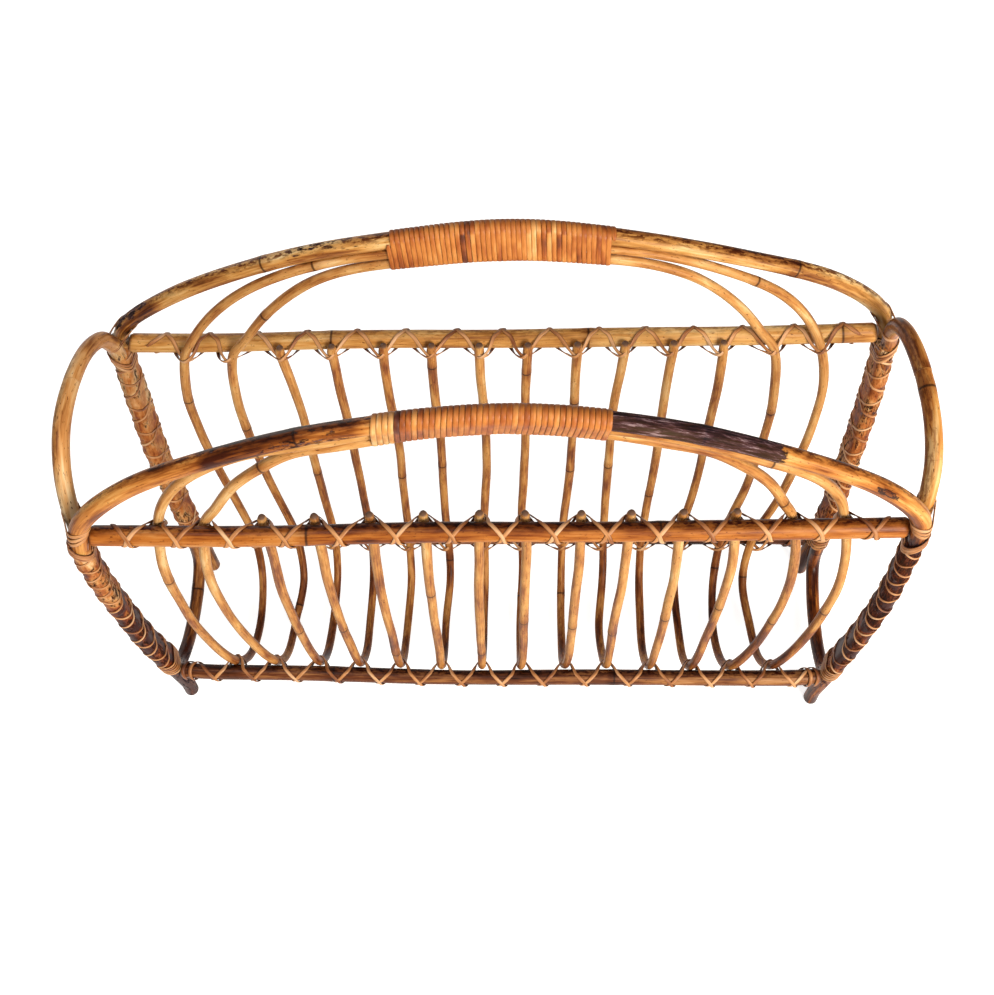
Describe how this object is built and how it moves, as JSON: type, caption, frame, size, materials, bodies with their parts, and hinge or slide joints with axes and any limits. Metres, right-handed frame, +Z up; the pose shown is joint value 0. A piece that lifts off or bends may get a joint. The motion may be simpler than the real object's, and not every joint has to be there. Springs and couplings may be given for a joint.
{
  "type": "magazine rack",
  "caption": "Open rattan magazine rack: a cradle of bent cane ribs lashed to long rails, with end hoops, cane feet and two arched carrying handles with wound grips.",
  "frame": {"origin": "on the floor under the middle of the rack", "axes": "+X along the rails, +Z up, +Y towards the back handle"},
  "size_m": [0.4962, 0.1538, 0.3614],
  "materials": {
    "leg_cane": "varnished cane",
    "rail_cane": "varnished cane",
    "rib_cane": "varnished thin cane",
    "grip_strip": "varnished flat split cane",
    "binding": "varnished split cane"
  },
  "bodies": {
    "root": {"handle_front": "leg_cane", "grip_wrap_front": "grip_strip", "leg_wrap_front_left": "binding", "leg_wrap_front_right": "binding", "rail_top_front": "rail_cane", "lashing_top_front_a": "binding", "lashing_top_front_b": "binding", "rail_bottom_front": "rail_cane", "lashing_bottom_front_a": "binding", "lashing_bottom_front_b": "binding", "handle_back": "leg_cane", "grip_wrap_back": "grip_strip", "leg_wrap_back_left": "binding", "leg_wrap_back_right": "binding", "rail_top_back": "rail_cane", "lashing_top_back_a": "binding", "lashing_top_back_b": "binding", "rail_bottom_back": "rail_cane", "lashing_bottom_back_a": "binding", "lashing_bottom_back_b": "binding", "hoop_left": "leg_cane", "hoop_right": "leg_cane", "rib_01": "rib_cane", "rib_02": "rib_cane", "rib_03": "rib_cane", "rib_04": "rib_cane", "rib_05": "rib_cane", "rib_06": "rib_cane", "rib_07": "rib_cane", "rib_08": "rib_cane", "rib_09": "rib_cane", "rib_10": "rib_cane", "rib_11": "rib_cane", "rib_12": "rib_cane", "rib_13": "rib_cane", "rib_14": "rib_cane"}
  },
  "joints": []
}
